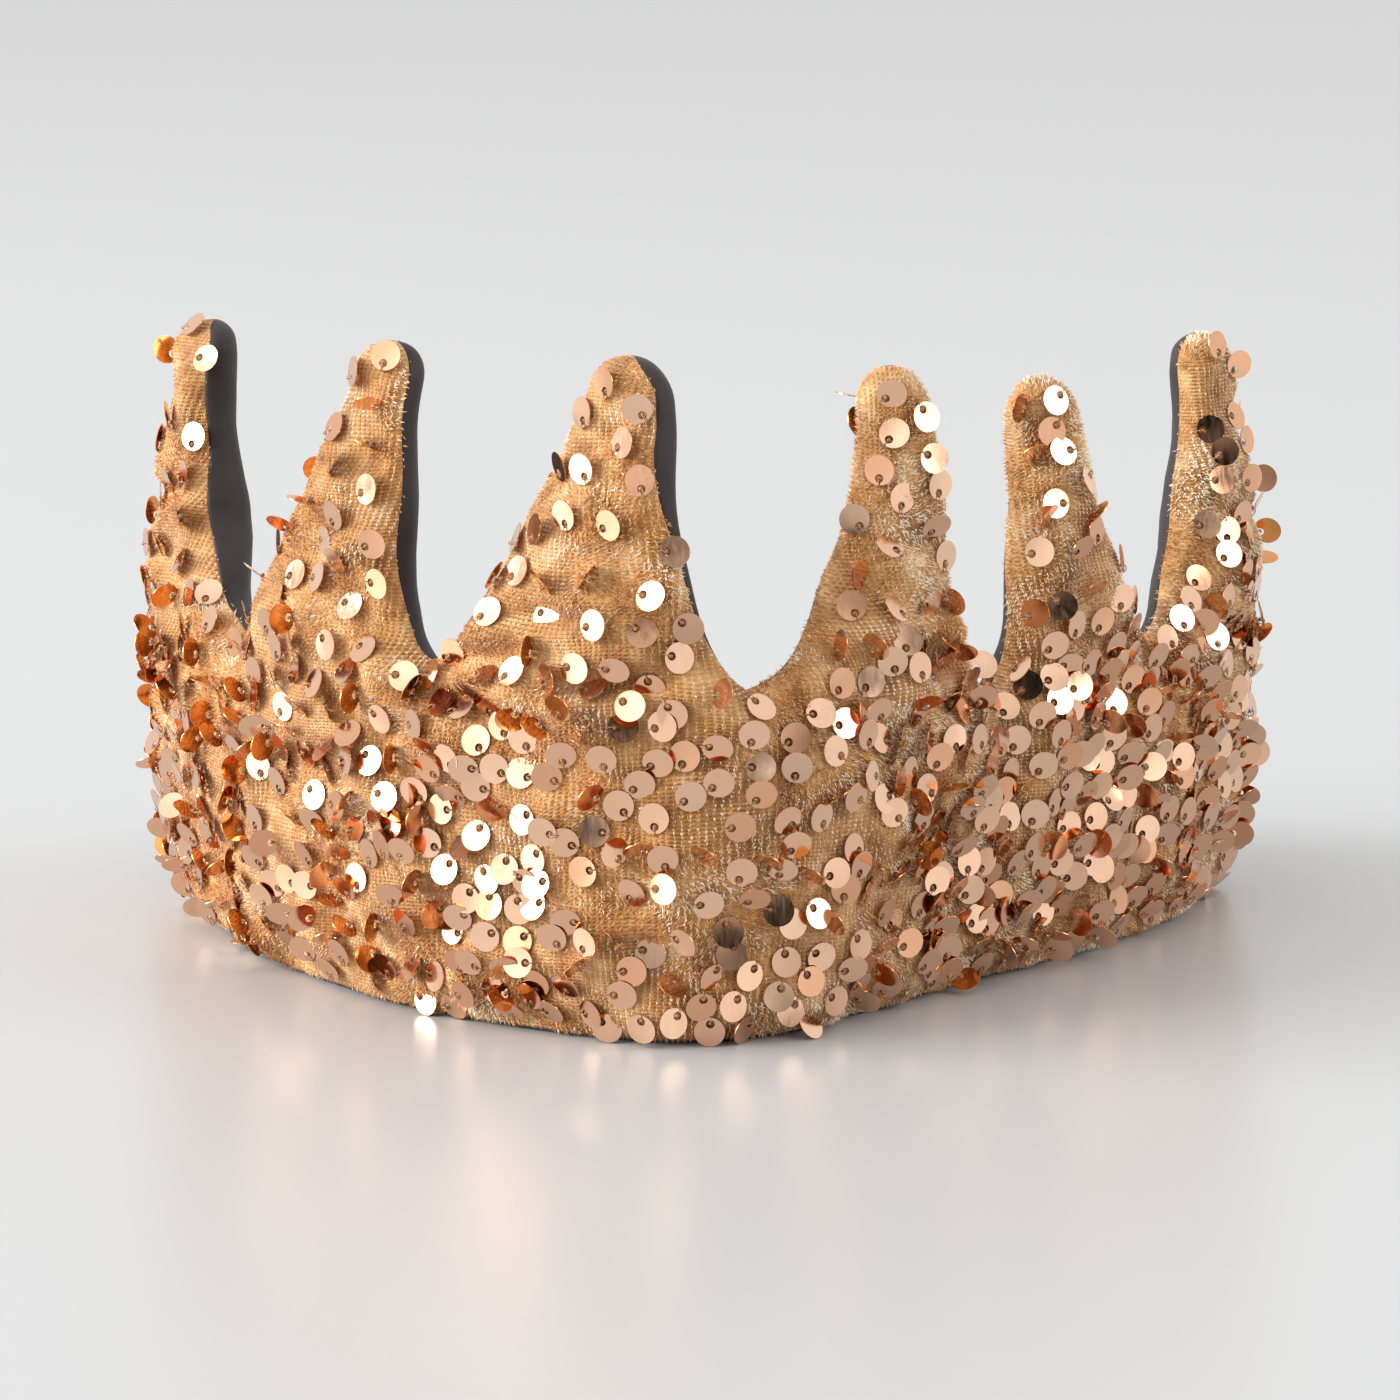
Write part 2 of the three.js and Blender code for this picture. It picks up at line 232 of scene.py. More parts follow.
def side_at(k, share, sign):
    """One side of spike k at a share of its height: out of the dip, up the hollow flank, round the tip."""
    start = tip_start(k)
    dip = k if sign < 0 else k + 1
    hollow = HOLLOW_LEFT[k] if sign < 0 else HOLLOW_RIGHT[k]
    flank = np.clip(share / start, 0, 1)
    foot = DIP_S[dip] - sign * DIP_FLAT[dip] * (1 - np.exp(-flank / FOOT_ROUND))
    tip_edge = SPIKE_S[k] + sign * SPIKE_RADIUS[k]
    up = np.clip((share - start) / (1 - start), 0, 1)
    on_flank = foot + (tip_edge - foot) * (1 - (1 - flank) ** hollow)
    return np.where(up > 0, SPIKE_S[k] + sign * SPIKE_RADIUS[k] * np.sqrt(1 - up**2), on_flank)


def eased(count, share=0.88):
    """Steps from 0 to 1 that crowd towards both ends."""
    even = np.linspace(0, 1, count + 1)
    return (1 - share) * even + share * (1 - np.cos(math.pi * even)) / 2


def rolled_columns(left_roll, right_roll):
    """The columns of each row: a rolled edge on each side, as shares of the row, and the rest between."""
    roll = np.linspace(0, 1, ROLL_COLUMNS + 1)[:-1] ** 2
    left = left_roll * roll
    right = 1 - right_roll * roll[::-1]
    between = left_roll + (1 - left_roll - right_roll) * eased(COLUMNS)
    return np.concatenate([left, between, right], axis=1)


def sector_places(k):
    """The fine grid of sector k as s and z, one row of places for each height from the base to the tip."""
    band = eased(BAND_ROWS)[:, None]
    narrowing = smooth_step((band - 0.6) / 0.4)
    band_roll = ROLL_IN_BAND + (LEAST_ROLL - ROLL_IN_BAND) * narrowing
    band_s = DIP_S[k] + (DIP_S[k + 1] - DIP_S[k]) * rolled_columns(band_roll, band_roll)
    band_z = band_height(k, band_s) * band
    flank = tip_start(k) * (np.linspace(0, 1, FLANK_ROWS + 1)[1:] ** 1.4)
    tip = tip_start(k) + (1 - tip_start(k)) * np.sin(np.linspace(0, math.pi / 2, TIP_ROWS + 1)[1:])
    share = np.concatenate([flank, tip])[:, None]
    left, right = side_at(k, share, -1), side_at(k, share, 1)
    grown = smooth_step(share / 0.15) * (0.15 + 0.85 * smooth_step(share / 0.7))
    width = np.maximum(right - left, 1)
    left_roll = np.clip(abs(ROLL_LEFT[k]) * (grown / width), LEAST_ROLL, MOST_ROLL)
    right_roll = np.clip(abs(ROLL_RIGHT[k]) * (grown / width), LEAST_ROLL, MOST_ROLL)
    spike_s = left + (right - left) * rolled_columns(left_roll, right_roll)
    foot = band_height(k, spike_s)
    spike_z = foot + (SPIKE_TOP[k] - foot) * share
    return np.vstack([band_s, spike_s]), np.vstack([band_z, spike_z])


def outline_runs():
    """The padded shape's outline without its base: the places of the grids' own edges."""
    runs = [[[DIP_S[0], -BASE_FLAT]]]
    for k in range(SPIKES):
        place = np.stack(sector_places(k), axis=-1)[BAND_ROWS:]
        runs += [place[:, 0], place[::-1, -1]]
    runs.append([[DIP_S[-1], -BASE_FLAT]])
    return np.vstack(runs)


OUTLINE = outline_runs()


def edge_distance(s, z):
    """How far each place is from the outline, or from the squashed base."""
    nearest = z + BASE_FLAT
    for (s0, z0), (s1, z1) in zip(OUTLINE[:-1], OUTLINE[1:]):
        ds, dz = s1 - s0, z1 - z0
        share = np.clip(((s - s0) * ds + (z - z0) * dz) / (ds * ds + dz * dz + 1e-9), 0, 1)
        nearest = np.minimum(nearest, np.hypot(s - s0 - share * ds, z - z0 - share * dz))
    return nearest


def sector_distance(k):
    """The edge distance over sector k's grid, which is nothing all along its own part of the outline."""
    distance = edge_distance(*sector_places(k))
    distance[BAND_ROWS:, [0, -1]] = 0
    distance[-1] = 0
    if k == 0:
        distance[:, 0] = 0
    if k == SPIKES - 1:
        distance[:, -1] = 0
    return distance


def relaxed_halves(distances):
    """Half the padding over each sector's grid: round at the edge, and relaxed inside it across sectors."""
    exact = []
    for distance in distances:
        inward = np.clip(distance, 0, EDGE_ROUND) / EDGE_ROUND
        exact.append(HALF_THICKNESS * np.sqrt(1 - (1 - inward) ** 2))
    halves = [half.copy() for half in exact]
    band = slice(1, BAND_ROWS)
    for _ in range(RELAX_PASSES):
        for half in halves:
            half[1:-1, 1:-1] = (half[:-2, 1:-1] + half[2:, 1:-1] + half[1:-1, :-2] + half[1:-1, 2:]) / 4
        for left, right in zip(halves[:-1], halves[1:]):
            above_and_below = left[:BAND_ROWS - 1, -1] + left[2:BAND_ROWS + 1, -1]
            shared = (above_and_below + left[band, -2] + right[band, 1]) / 4
            left[band, -1] = shared
            right[band, 0] = shared
    inside = [smooth_step((distance - 1.5) / 4) for distance in distances]
    return [round_in + (half - round_in) * share for round_in, half, share in zip(exact, halves, inside)]


def field(points, wavelength, seed, waves=16):
    """A smooth random field, mostly between -1 and 1, from waves of about one length in all directions."""
    rng = np.random.default_rng(seed)
    total = np.zeros(points.shape[:-1])
    for _ in range(waves):
        direction = rng.normal(size=points.shape[-1])
        direction /= np.linalg.norm(direction)
        length = wavelength * rng.uniform(0.7, 1.4)
        total += np.sin(points @ direction * (TAU / length) + rng.uniform(0, TAU))
    return total * math.sqrt(2 / waves) * 0.7


def velvet_relief(s, z, distance):
    """Lumps of the filling, drag lines across the spikes and puckers along the seam, out of the velvet."""
    place = np.stack([s, z], axis=-1)
    lumps = 0.75 * field(place, 17, 11) + 0.35 * field(place, 8, 12)
    stretched = place * np.array([0.3, 1])
    lines = field(stretched, 6.5, 13)
    around_dips = np.exp(-(((z - 63) / 16) ** 2))
    patches = smooth_step(0.4 + 0.8 * field(place, 34, 14))
    drag = 1.5 * lines * (0.2 + around_dips) * patches
    puckers = 0.45 * field(place, 5, 15) * np.exp(-distance / 4)
    return (lumps + drag + puckers) * smooth_step(distance / 4)


def lining_relief(s, z, distance):
    """Softer, longer waves of the plain lining, with short puckers along the seam."""
    place = np.stack([s, z], axis=-1)
    waves = 0.5 * field(place, 26, 21) + 0.4 * field(place * np.array([0.45, 1]), 11, 22)
    puckers = 0.22 * field(place * np.array([1, 0.6]), 4.5, 23) * np.exp(-distance / 5)
    calm = 0.35 + 0.65 * smooth_step((70 - z) / 20)
    return (waves * calm + puckers) * smooth_step(distance / 5)


def warped(points):
    """Moves every layer of the padding alike, so that the outline is a little uneven."""
    lift = smooth_step(points[..., 2] / 10)[..., None]
    shift = np.stack([field(points, 21, seed) for seed in (31, 32, 33)], axis=-1)
    return points + 0.55 * shift * lift


# ---- Meshes ----

def new_mesh(name, points, faces):
    """A mesh in metres from points in millimetres and an array of faces with as many corners each."""
    mesh = bpy.data.meshes.new(name)
    mesh.vertices.add(len(points))
    mesh.vertices.foreach_set("co", (np.asarray(points) * MM).astype(np.float32).ravel())
    mesh.loops.add(faces.size)
    mesh.loops.foreach_set("vertex_index", faces.astype(np.int32).ravel())
    mesh.polygons.add(len(faces))
    mesh.polygons.foreach_set("loop_start", np.arange(0, faces.size, faces.shape[1], dtype=np.int32))
    mesh.update(calc_edges=True)
    return mesh


def new_piece(name, mesh, materials, smooth=True):
    """A piece in the scene, from a mesh and the materials that its faces use."""
    piece = bpy.data.objects.new(name, mesh)
    scene.collection.objects.link(piece)
    for material in materials:
        mesh.materials.append(material)
    mesh.polygons.foreach_set("use_smooth", np.full(len(mesh.polygons), smooth))
    return piece


def grid_faces(rows, columns, first=0):
    """The cells of a grid of places, each wound so that s to the right and z up faces out."""
    ids = first + np.arange(rows * columns).reshape(rows, columns)
    return np.stack([ids[:-1, :-1], ids[:-1, 1:], ids[1:, 1:], ids[1:, :-1]], axis=-1).reshape(-1, 4)


def copied_faces(cells, each, count):
    """The faces of a small mesh, for as many copies of it with so many points each."""
    return (np.arange(count)[:, None, None] * each + cells).reshape(-1, cells.shape[-1])


def edit_mesh(mesh, edit):
    """Makes one bmesh edit to a mesh."""
    work = bmesh.new()
    work.from_mesh(mesh)
    edit(work)
    work.to_mesh(mesh)
    work.free()


def weld(work):
    """Joins the places that neighbouring grids share, and closes each tip."""
    bmesh.ops.remove_doubles(work, verts=work.verts, dist=1e-7)


def apply_modifiers(piece):
    """Leaves the piece with the mesh that its modifiers make."""
    graph = bpy.context.evaluated_depsgraph_get()
    graph.update()
    mesh = bpy.data.meshes.new_from_object(piece.evaluated_get(graph))
    piece.modifiers.clear()
    piece.data = mesh


def thicken(piece, thickness):
    """Turns a sheet into a closed cloth, into the padding from the face that shows."""
    shell = piece.modifiers.new("cloth", "SOLIDIFY")
    shell.thickness = thickness * MM
    shell.offset = -1
    apply_modifiers(piece)


def skin(name, sheets):
    """One mesh from grids of points and their places, with the places as its UV map in metres."""
    points, faces, places = [], [], []
    first = 0
    for grid, uv in sheets:
        rows, columns = grid.shape[:2]
        faces.append(grid_faces(rows, columns, first))
        points.append(grid.reshape(-1, 3))
        places.append(uv.reshape(-1, 2))
        first += rows * columns
    faces = np.vstack(faces)
    mesh = new_mesh(name, np.vstack(points), faces)
    layer = mesh.uv_layers.new(name="cloth")
    layer.data.foreach_set("uv", (np.vstack(places) * MM)[faces.ravel()].astype(np.float32).ravel())
    edit_mesh(mesh, weld)
    return mesh


# ---- Materials ----

def new_material(name):
    """A material with its nodes, its links and its shader."""
    material = bpy.data.materials.new(name)
    material.use_nodes = True
    nodes = material.node_tree.nodes
    return material, nodes, material.node_tree.links, nodes["Principled BSDF"]


def set_values(node, **values):
    """Sets a node's sockets by name, with _ for each space."""
    for name, value in values.items():
        node.inputs[name.replace("_", " ")].default_value = value


def add_node(nodes, kind, **values):
    """A new node with its sockets set."""
    node = nodes.new(kind)
    set_values(node, **values)
    return node


def node_in_place(nodes, links, kind, **values):
    """A node that works on places in the piece's own space."""
    node = add_node(nodes, kind, **values)
    links.new(nodes.new("ShaderNodeTexCoord").outputs["Object"], node.inputs["Vector"])
    return node


def ramp_between(nodes, links, value, colours, positions):
    """A colour ramp along a value."""
    ramp = nodes.new("ShaderNodeValToRGB")
    while len(ramp.color_ramp.elements) < len(colours):
        ramp.color_ramp.elements.new(0.5)
    for element, colour, position in zip(ramp.color_ramp.elements, colours, positions):
        element.position = position
        element.color = (*colour, 1)
    links.new(value, ramp.inputs["Fac"])
    return ramp.outputs["Color"]


def raise_by(nodes, links, shader, height, strength, distance):
    """Bumps a shader by a height, over a distance in millimetres."""
    bump = add_node(nodes, "ShaderNodeBump", Strength=strength, Distance=distance * MM)
    links.new(height, bump.inputs["Height"])
    links.new(bump.outputs["Normal"], shader.inputs["Normal"])


def knit_bump(nodes, links, shader, strength, distance):
    """Columns and rows of loops at the knit's own spacing, on the cloth's UV map."""
    uv = nodes.new("ShaderNodeUVMap")
    uv.uv_map = "cloth"
    both = nodes.new("ShaderNodeMath")
    both.operation = "MULTIPLY"
    for direction, pitch, factor in (("X", WALE, both.inputs[0]), ("Y", COURSE, both.inputs[1])):
        wave = add_node(nodes, "ShaderNodeTexWave", Scale=math.pi / 10 / (pitch * MM), Distortion=0.6)
        wave.bands_direction = direction
        links.new(uv.outputs["UV"], wave.inputs["Vector"])
        links.new(wave.outputs["Fac"], factor)
    raise_by(nodes, links, shader, both.outputs["Value"], strength, distance)


def velvet_backing():
    """The knitted ground between the tufts: golden brown, in deeper and paler patches."""
    material, nodes, links, shader = new_material("velvet_ground")
    set_values(shader, Roughness=0.8, Sheen_Weight=0.3, Sheen_Roughness=0.4)
    noise = node_in_place(nodes, links, "ShaderNodeTexNoise", Scale=160, Detail=6, Roughness=0.6)
    colours = [(0.27, 0.105, 0.025), (0.54, 0.265, 0.086), (0.76, 0.49, 0.24)]
    colour = ramp_between(nodes, links, noise.outputs["Fac"], colours, [0.35, 0.52, 0.68])
    links.new(colour, shader.inputs["Base Color"])
    knit_bump(nodes, links, shader, 0.8, 0.4)
    return material


# Pile colours from deep to pale. The levels that pick them hold painted shade and sheen, and the palest is
# for painted glints.
PILE_SHADES = {
    "pile_deep": (0.44, 0.16, 0.03),
    "pile_gold": (0.83, 0.42, 0.115),
    "pile_tan": (0.88, 0.54, 0.22),
    "pile_cream": (0.95, 0.80, 0.58),
    "pile_painted_glint": (1.0, 0.97, 0.90),
}


def pile_materials():
    """One material for each shade of the pile, in the order of PILE_SHADES."""
    materials = []
    for name, colour in PILE_SHADES.items():
        material, _, _, shader = new_material(name)
        set_values(
            shader, Base_Color=(*colour, 1), Roughness=0.45, Specular_IOR_Level=0.5,
            Sheen_Weight=0.5, Sheen_Roughness=0.35,
        )
        materials.append(material)
    return materials


def lining_material():
    """Dark slate lining: a close plain weave with a soft satin shine."""
    material, nodes, links, shader = new_material("slate_lining")
    set_values(shader, Roughness=0.6, Sheen_Weight=0.08, Sheen_Roughness=0.5, Specular_IOR_Level=0.3)
    noise = node_in_place(nodes, links, "ShaderNodeTexNoise", Scale=90, Detail=5, Roughness=0.65)
    colours = [(0.022, 0.015, 0.015), (0.040, 0.029, 0.029)]
    colour = ramp_between(nodes, links, noise.outputs["Fac"], colours, [0.35, 0.68])
    links.new(colour, shader.inputs["Base Color"])
    weave = node_in_place(nodes, links, "ShaderNodeTexVoronoi", Scale=2600)
    weave.distance = "CHEBYCHEV"
    raise_by(nodes, links, shader, weave.outputs["Distance"], 0.35, 0.12)
    return material


SEQUIN_TINTS = {
    "sequin_peach": (0.86, 0.53, 0.355),
    "sequin_copper": (0.80, 0.44, 0.265),
    "sequin_champagne": (0.89, 0.58, 0.40),
    "sequin_back": (0.74, 0.32, 0.105),
}


def sequin_materials():
    """Metallised film in three near tints and its deep copper back, with faint streaks in its shine."""
    materials = []
    for name, colour in SEQUIN_TINTS.items():
        material, nodes, links, shader = new_material(name)
        set_values(shader, Base_Color=(*colour, 1), Metallic=1.0)
        stretch = node_in_place(nodes, links, "ShaderNodeMapping", Scale=(1, 1, 0.12))
        noise = add_node(nodes, "ShaderNodeTexNoise", Scale=1500, Detail=2)
        links.new(stretch.outputs["Vector"], noise.inputs["Vector"])
        spread = add_node(nodes, "ShaderNodeMapRange", From_Min=0.3, From_Max=0.7, To_Min=0.10, To_Max=0.19)
        links.new(noise.outputs["Fac"], spread.inputs["Value"])
        links.new(spread.outputs["Result"], shader.inputs["Roughness"])
        materials.append(material)
    return materials


def thread_material(name, colour, roughness):
    """Twisted thread: a fine slanting bump along it."""
    material, nodes, links, shader = new_material(name)
    set_values(shader, Base_Color=(*colour, 1), Roughness=roughness, Coat_Weight=0.3)
    wave = node_in_place(nodes, links, "ShaderNodeTexWave", Scale=900, Distortion=0.4)
    wave.bands_direction = "DIAGONAL"
    raise_by(nodes, links, shader, wave.outputs["Fac"], 0.3, 0.05)
    return material


def elastic_material():
    """Woven elastic: pale, with ribs along it."""
    material, nodes, links, shader = new_material("woven_elastic")
    set_values(shader, Base_Color=(0.8, 0.79, 0.75, 1), Roughness=0.75)
    ribs = node_in_place(nodes, links, "ShaderNodeTexWave", Scale=260)
    ribs.bands_direction = "Z"
    raise_by(nodes, links, shader, ribs.outputs["Fac"], 0.6, 0.3)
    return material


# ---- Baking placement ----


def bend_with(piece):
    """Bakes the piece's placement into its mesh, leaving the piece itself unmoved."""
    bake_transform(piece)


# ---- The padded cover ----

def padded_sheets(side, distances, halves):
    """The velvet and lining grids of one side, with the places of their points."""
    velvet, lining = [], []
    for k in SIDES[side]["sectors"]:
        s, z = sector_places(k)
        distance, half = distances[k], halves[k]
        place = np.stack([s, z], axis=-1)
        outer = warped(surface_point(k, s, z, half + velvet_relief(s, z, distance)))
        inner = warped(surface_point(k, s, z, -half - lining_relief(s, z, distance)))
        shares = np.linspace(0, 1, BASE_STRIPS + 1)[1:-1, None, None]
        under = outer[0] + (inner[0] - outer[0]) * shares
        foot = place[:1] + np.zeros((BASE_STRIPS - 1, 1, 1))
        band = slice(LINING_UP_FRONT, BAND_ROWS + 1)
        velvet.append((outer[band], place[band]))
        wrap = np.vstack([outer[LINING_UP_FRONT::-1], under, inner[:BAND_ROWS + 1]])
        wrap_places = np.vstack([place[LINING_UP_FRONT::-1], foot, place[:BAND_ROWS + 1]])
        lining.append((wrap[:, ::-1], wrap_places[:, ::-1]))
        spike = slice(BAND_ROWS, None)
        middle = slice(ROLL_COLUMNS, -ROLL_COLUMNS)
        velvet.append((outer[spike, middle], place[spike, middle]))
        lining.append((inner[spike, middle][:, ::-1], place[spike, middle][:, ::-1]))
        for roll, columns, rim in (
            (ROLL_LEFT[k], slice(0, ROLL_COLUMNS + 1), 0),
            (ROLL_RIGHT[k], slice(-ROLL_COLUMNS - 1, None), -1),
        ):
            front, back = outer[spike, columns], inner[spike, columns][:, ::-1]
            flat = place[spike, columns]
            turned = flat[:, ::-1].copy()
            turned[..., 0] = 2 * place[spike, rim, 0][:, None] - turned[..., 0]
            cloth = lining if roll > 0 else velvet
            cloth += [(front, flat), (back, turned)]
    return velvet, lining


def make_cover(side, distances, halves, ground, slate):
    """The velvet and the lining of one side, still without thickness."""
    velvet_grids, lining_grids = padded_sheets(side, distances, halves)
    velvet = new_piece(f"velvet_cover_{side}", skin(f"velvet_cover_{side}", velvet_grids), [ground])
    lining = new_piece(f"lining_{side}_side", skin(f"lining_{side}_side", lining_grids), [slate])
    return velvet, lining


def tree_of(points):
    """Finds the nearest of many points."""
    tree = KDTree(len(points))
    for i, point in enumerate(points):
        tree.insert(point, i)
    tree.balance()
    return tree


def flat_tree(places):
    """Finds the nearest of many (s, z) places."""
    return tree_of([(s, z, 0) for s, z in places])


def rows_of(items, name, width, kind):
    """One property of all the items, with a row for each."""
    values = np.empty(len(items) * width, kind)
    items.foreach_get(name, values)
    return values.reshape(-1, width)


class Surface:
    """The velvet's vertices with their places and normals, found again by place."""

    def __init__(self, mesh):
        self.points = rows_of(mesh.vertices, "co", 3, float) / MM
        self.normals = rows_of(mesh.vertices, "normal", 3, float)
        corners = rows_of(mesh.loops, "vertex_index", 1, int)[:, 0]
        self.places = np.zeros((len(self.points), 2))
        self.places[corners] = rows_of(mesh.uv_layers["cloth"].data, "uv", 2, float) / MM
        mesh.calc_loop_triangles()
        self.triangles = rows_of(mesh.loop_triangles, "vertices", 3, int)
        self.tree = flat_tree(self.places)

    def nearest(self, s, z):
        """The vertex whose place is nearest, and how far off it is."""
        _, index, gap = self.tree.find((s, z, 0))
        return index, gap

    def scatter(self, per_mm2, rng):
        """Random points spread evenly over the surface, with their normals and places."""
        a, b, c = (self.points[self.triangles[:, i]] for i in range(3))
        area = np.linalg.norm(np.cross(b - a, c - a), axis=1) / 2
        count = int(area.sum() * per_mm2)
        chosen = self.triangles[rng.choice(len(area), count, p=area / area.sum())]
        u, v = rng.random((2, count, 1))
        u, v = np.where(u + v > 1, 1 - u, u), np.where(u + v > 1, 1 - v, v)
        weights = (1 - u - v, u, v)
        mixed = []
        for values in (self.points, self.normals, self.places):
            mixed.append(sum(weights[i] * values[chosen[:, i]] for i in range(3)))
        points, normals, places = mixed
        return points, unit(normals), places


def unit(vectors):
    """The vectors with a length of one."""
    return vectors / (np.linalg.norm(vectors, axis=-1, keepdims=True) + 1e-12)


def tangents(normals):
    """For each normal, the directions along the band and up the cloth."""
    along = unit(np.cross(np.array([0.0, 0.0, 1.0]), normals) + 1e-9)
    return along, np.cross(normals, along)


# ---- The pile ----

def pile_shade(places, normals, spots, rng):
    """The shade of each tuft, with painted light in it: paler towards both ends as painted light, paler where
    the cloth faces right and in patches where the pile lies pressed flat as painted sheen, with scattered
    painted glints, and deeper round each sewing point as painted shade.
    """
    tree = flat_tree(spots)
    from_stitch = np.array([tree.find((s, z, 0))[2] for s, z in places])
    # patches where the pile lies pressed flat; their paleness is painted sheen
    crushed_sheen = 0.7 * field(places * np.array([0.6, 1]), 19, 41)
    crushed_sheen += 0.5 * field(places * np.array([0.7, 1]), 8, 42)
    # painted sheen: the pile painted paler the more it faces this way, deeper facing the other way
    sheen_by_facing = normals @ PAINTED_SHEEN_FACING
    wales = 0.5 * np.cos(places[:, 0] * TAU / WALE)
    level = 1.75 + 1.35 * crushed_sheen + 1.0 * sheen_by_facing + wales + 0.45 * rng.normal(size=len(places))
    # painted light: both ends of the band painted paler, as if lit more than the front
    level += 1.2 * smooth_step((places[:, 0] - 5) / 45) + 0.4 * smooth_step((-30 - places[:, 0]) / 50)
    # painted shade: the pile darkened round each sewing point, where its sequin shades it
    level -= 1.3 * np.exp(-((from_stitch / STITCH_SHADE_REACH) ** 2))
    # painted glints: scattered tufts given the palest colour as highlights, most where the sheen is painted
    # palest
    painted_glint = rng.random(len(places)) < 0.03 + 0.17 * smooth_step(0.1 + crushed_sheen + 0.5 * sheen_by_facing)
    shade = np.clip(np.floor(level), 0, 3).astype(int)
    shade[painted_glint] = 4
    return shade


def make_pile(side, spots, surface, materials, seed):
    """Short tufts in the knit's columns and rows, each a slim pointed blade lying with its neighbours."""
    rng = np.random.default_rng(seed)
    points, normals, places = surface.scatter(TUFTS_PER_MM2, rng)
    along, up = tangents(normals)
    count = len(points)
    leg = rng.choice([-1.0, 1.0], (count, 1))
    fluffed = smooth_step(0.5 + 0.9 * field(places, 30, 45) + places[:, 0] / 250)[:, None]
    to_wale = np.round(places[:, :1] / WALE) * WALE - places[:, :1] + leg * 0.14
    to_course = np.round(places[:, 1:] / COURSE) * COURSE - places[:, 1:]
    jitter = (0.05 + 0.15 * fluffed) * rng.normal(size=(2, count, 1))
    roots = points + along * (to_wale + jitter[0]) + up * (to_course + jitter[1]) - normals * TUFT_ROOT
    combed = -math.pi / 2 - leg * 0.35
    lie = combed + fluffed * 2.4 * field(places, 24, 43)[:, None]
    lie += (0.12 + 0.5 * fluffed) * rng.normal(size=(count, 1))
    lean = 1.5 - 0.6 * fluffed + 0.35 * field(places, 14, 44)[:, None] + rng.normal(0, 0.2, (count, 1))
    towards = unit(normals + lean * (along * np.cos(lie) + up * np.sin(lie)))
    length = TUFT_LENGTH * (0.85 + 0.3 * fluffed) * rng.uniform(0.7, 1.2, (count, 1))
    tips = roots + towards * length
    ring = []
    turn = rng.uniform(0, TAU, (count, 1))
    for corner in range(3):
        angle = turn + corner * TAU / 3
        ring.append(roots + (along * np.cos(angle) + up * np.sin(angle)) * TUFT_RADIUS)
    vertices = np.stack(ring + [tips], axis=1)
    vertices[..., 2] = np.maximum(vertices[..., 2], LEAST_TUFT_HEIGHT)
    corners = np.array([[0, 1, 3], [1, 2, 3], [2, 0, 3], [2, 1, 0]])
    mesh = new_mesh(f"pile_{side}", vertices.reshape(-1, 3), copied_faces(corners, 4, count))
    piece = new_piece(f"pile_{side}", mesh, materials, smooth=False)
    mesh.polygons.foreach_set("material_index", np.repeat(pile_shade(places, normals, spots, rng), 4))
    return piece


# ---- The sequins ----

def sequin_spots():
    """Sewing points over the crown, no two too near: closest low on the right, widest on the spikes."""
    rng = np.random.default_rng(SPOT_SEED)
    spots = rng.uniform((DIP_S[0], 2.5), (DIP_S[-1], SPIKE_TOP.max()), (SEQUIN_TRIES, 2))
    s, z = spots.T
    spread = 1 + 0.16 * smooth_step((-30 - s) / 50) - 0.09 * smooth_step((s - 10) / 75)
    spread += 0.4 * smooth_step((z - 52) / 16) + 0.08 * field(spots, 30, 52)
    inside = edge_distance(s, z) > SEQUIN_MARGIN
    kept = spots[inside][:1]
    for spot, gap in zip(spots[inside], SEQUIN_SPACING * spread[inside]):
        if np.hypot(*(kept - spot).T).min() > gap:
            kept = np.vstack([kept, spot])
    return kept


def spots_on(side, spots, surface):
    """The velvet's vertices nearest to the sewing points of one side."""
    sectors = SIDES[side]["sectors"]
    here = (spots[:, 0] > DIP_S[sectors[0]]) & (spots[:, 0] < DIP_S[sectors[-1] + 1])
    found = [surface.nearest(*spot) for spot in spots[here]]
    return np.array(sorted({index for index, gap in found if gap < SEQUIN_REACH}))


def sequin_frames(places, normals, rng):
    """For each sequin, the direction from its hole to its middle, the way it faces, and the third axis."""
    along, up = tangents(normals)
    count = len(places)
    drape = 1.1 + 1.6 * field(places, 60, 53) + rng.normal(0, 0.5, count)
    even = 0.6 * smooth_step((places[:, 0] - 20) / 60) * smooth_step((62 - places[:, 1]) / 30)
    drape += even * (0.75 - drape)
    away = along * np.cos(drape)[:, None] + up * np.sin(drape)[:, None]
    sideways = np.cross(normals, away)
    standing = rng.random(count) < 0.18 + 0.10 * smooth_step((-20 - places[:, 0]) / 50)
    tilt = np.where(standing, rng.uniform(0.8, 1.45, count), np.abs(rng.normal(0.18, 0.16, count)))
    roll = np.where(standing, rng.normal(0, 0.5, count), rng.normal(0, 0.2, count))
    away, facing = spun(away, normals, tilt)
    sideways, facing = spun(sideways, facing, roll)
    return away, sideways, facing


def spun(axis, facing, angle):
    """Lifts axis towards facing by an angle, and turns facing back with it."""
    cos, sin = np.cos(angle)[:, None], np.sin(angle)[:, None]
    return axis * cos + facing * sin, facing * cos - axis * sin


def disc_rings():
    """A sequin's own points, as rings from its rim in to its hole on its face, and out again on its back."""
    angle = np.linspace(0, TAU, SEQUIN_SIDES, endpoint=False)
    circle = np.stack([np.cos(angle), np.sin(angle)], axis=-1)
    rim = circle * SEQUIN_RADIUS
    hole = circle * HOLE_RADIUS - np.array([HOLE_OFFSET, 0])
    rings = []
    for level in (0, -SEQUIN_THICKNESS):
        order = (0, 0.5, 1) if level == 0 else (1, 0.5, 0)
        for share in order:
            flat = rim + (hole - rim) * share
            cup = SEQUIN_CUP * (np.linalg.norm(flat, axis=1) / SEQUIN_RADIUS) ** 2
            rings.append(np.column_stack([flat, cup + level]))
    return np.array(rings)


